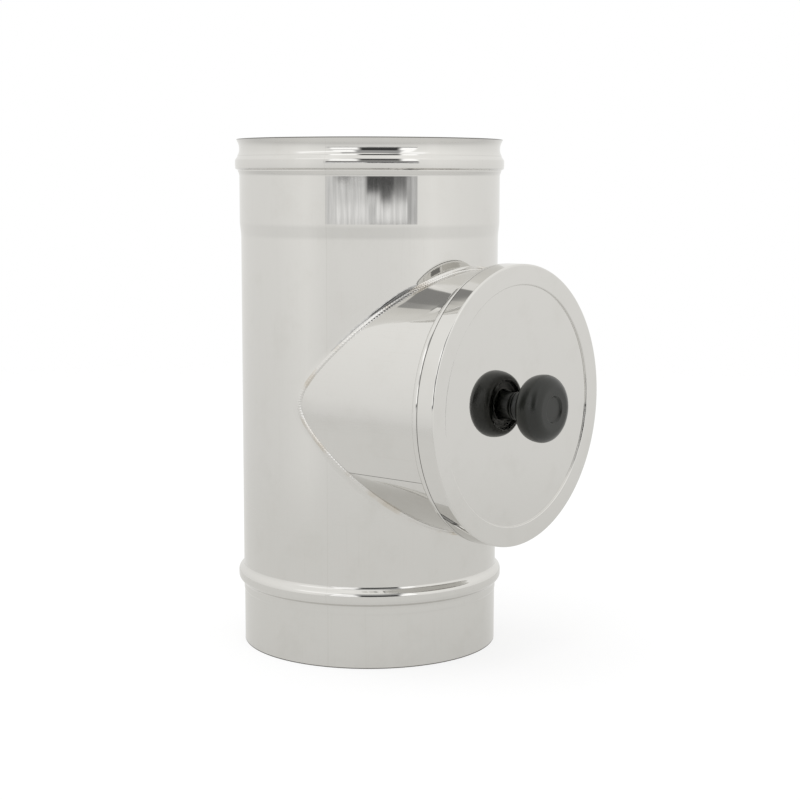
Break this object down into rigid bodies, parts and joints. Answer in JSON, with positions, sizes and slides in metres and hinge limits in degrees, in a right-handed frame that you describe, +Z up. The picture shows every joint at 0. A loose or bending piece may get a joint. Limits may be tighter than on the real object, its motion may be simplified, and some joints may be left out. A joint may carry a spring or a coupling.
{
  "type": "stove pipe tee",
  "caption": "Upright stainless flue tee: socket above, spigot below, and a side branch closed by a push-in inspection cap with a black knob.",
  "frame": {"origin": "middle of the whole object's box, at the height of the spigot's end, which it stands on; the vertical tube's axis is 26.85 mm behind it along -X", "axes": "+Z up along the vertical tube from spigot to socket, +X along the branch towards the knob, +Y across"},
  "size_m": [0.2114, 0.158, 0.297],
  "materials": {
    "polished_stainless": "polished",
    "weld_stainless": "satin",
    "seal_silicone": "matte",
    "knob_plastic": "satin",
    "bush_brass": "satin",
    "plated_fastener": "satin"
  },
  "bodies": {
    "tee": {"body_pipe": "polished_stainless", "branch_pipe": "polished_stainless", "junction_weld": "weld_stainless", "socket_seal": "seal_silicone", "branch_seal": "seal_silicone"},
    "cap": {"cap_lid": "polished_stainless", "cap_sleeve": "polished_stainless", "knob": "knob_plastic", "knob_bush": "bush_brass", "knob_screw": "plated_fastener", "knob_washer": "plated_fastener", "knob_spring_washer": "plated_fastener"}
  },
  "joints": [
    {"name": "cap_pull", "type": "slide", "parent": "tee", "child": "cap", "axis": [1, 0, 0], "range_m": [0, 0.045]}
  ]
}
